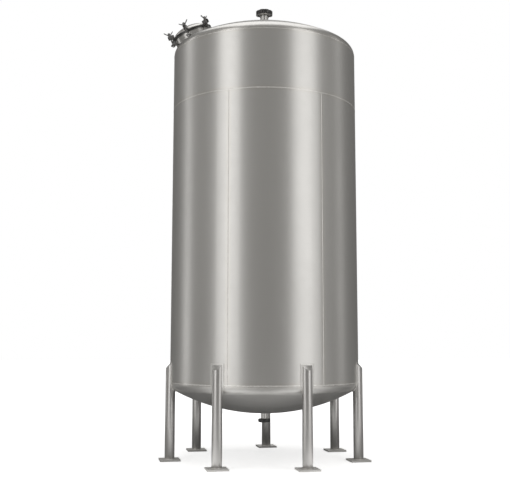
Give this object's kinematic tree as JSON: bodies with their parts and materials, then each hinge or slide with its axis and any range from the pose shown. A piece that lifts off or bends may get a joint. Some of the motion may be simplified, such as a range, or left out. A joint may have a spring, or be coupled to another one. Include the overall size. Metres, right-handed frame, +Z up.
{
  "type": "bulk milk tank",
  "caption": "Upright dished-end stainless storage vessel on tall pipe legs, with a clamped hinged manway, a capped top union and a capped bottom outlet.",
  "frame": {"origin": "on the floor at the centre of the footprint's bounding box; the vessel's axis stands 50 mm from it towards +X", "axes": "+Z up along the vessel's axis, -X towards the manway and leg 1"},
  "size_m": [2.1405, 2.1598, 4.9127],
  "materials": {
    "brushed_sheet": "satin brushed stainless sheet, grain upright",
    "leg_steel": "matt stainless pipe and plate",
    "dark_casting": "dark satin stainless castings and fasteners",
    "seal_rubber": "smooth black rubber"
  },
  "bodies": {
    "tank": {"bottom_head": "brushed_sheet", "top_head": "brushed_sheet", "upper_course": "brushed_sheet", "lower_sheet_1": "brushed_sheet", "lower_sheet_2": "brushed_sheet", "lower_sheet_3": "brushed_sheet", "lower_sheet_4": "brushed_sheet", "lower_sheet_5": "brushed_sheet", "lower_sheet_6": "brushed_sheet", "leg_1": "leg_steel", "leg_2": "leg_steel", "leg_3": "leg_steel", "leg_4": "leg_steel", "leg_5": "leg_steel", "leg_6": "leg_steel", "leg_7": "leg_steel", "leg_pad_1": "leg_steel", "leg_pad_2": "leg_steel", "leg_pad_3": "leg_steel", "leg_pad_4": "leg_steel", "leg_pad_5": "leg_steel", "leg_pad_6": "leg_steel", "leg_pad_7": "leg_steel", "base_plate_1": "leg_steel", "base_plate_2": "leg_steel", "base_plate_3": "leg_steel", "base_plate_4": "leg_steel", "base_plate_5": "leg_steel", "base_plate_6": "leg_steel", "base_plate_7": "leg_steel", "manway_neck": "brushed_sheet", "manway_rim": "dark_casting", "clamp_lug_1": "dark_casting", "clamp_lug_2": "dark_casting", "clamp_lug_3": "dark_casting", "clamp_bolt_1": "dark_casting", "clamp_bolt_2": "dark_casting", "clamp_bolt_3": "dark_casting", "hinge_bracket": "dark_casting", "hinge_pin": "dark_casting", "top_stub": "brushed_sheet", "top_seal": "seal_rubber", "cip_lance": "brushed_sheet", "spray_ball": "brushed_sheet", "outlet_stub": "brushed_sheet", "outlet_seal": "seal_rubber"},
    "lid": {"manway_lid": "brushed_sheet", "lid_gasket": "seal_rubber", "lid_ear_1": "dark_casting", "lid_ear_2": "dark_casting", "lid_ear_3": "dark_casting", "hinge_arm": "dark_casting"},
    "wing_nut_1": {"wing_nut_1": "dark_casting"},
    "wing_nut_2": {"wing_nut_2": "dark_casting"},
    "wing_nut_3": {"wing_nut_3": "dark_casting"},
    "top_cap": {"top_cap": "brushed_sheet"},
    "top_nut": {"top_nut": "dark_casting"},
    "outlet_cap": {"outlet_cap": "brushed_sheet"},
    "outlet_nut": {"outlet_nut": "dark_casting"}
  },
  "joints": [
    {"name": "lid_hinge", "type": "hinge", "parent": "tank", "child": "lid", "pos_m": [-0.69006, 0.24076, 4.67564], "axis": [-0.8459, 0.3944, -0.3591], "range_deg": [0, 105]},
    {"name": "wing_nut_1_spin", "type": "hinge", "parent": "lid", "child": "wing_nut_1", "pos_m": [-1.0114, -0.02947, 4.53283], "axis": [-0.3907, 0, 0.9205], "continuous": true},
    {"name": "wing_nut_2_spin", "type": "hinge", "parent": "lid", "child": "wing_nut_2", "pos_m": [-0.87365, -0.22973, 4.5913], "axis": [-0.3907, 0, 0.9205], "continuous": true},
    {"name": "wing_nut_3_spin", "type": "hinge", "parent": "lid", "child": "wing_nut_3", "pos_m": [-0.64513, -0.20026, 4.6883], "axis": [-0.3907, 0, 0.9205], "continuous": true},
    {"name": "top_cap_lift", "type": "slide", "parent": "tank", "child": "top_cap", "axis": [0, 0, 1], "range_m": [0, 0.08]},
    {"name": "top_nut_spin", "type": "hinge", "parent": "top_cap", "child": "top_nut", "pos_m": [0.05, 0, 4.8897], "axis": [0, 0, 1], "continuous": true},
    {"name": "outlet_cap_drop", "type": "slide", "parent": "tank", "child": "outlet_cap", "axis": [0, 0, -1], "range_m": [0, 0.08]},
    {"name": "outlet_nut_spin", "type": "hinge", "parent": "outlet_cap", "child": "outlet_nut", "pos_m": [0.05, 0, 0.3908], "axis": [0, 0, 1], "continuous": true}
  ]
}
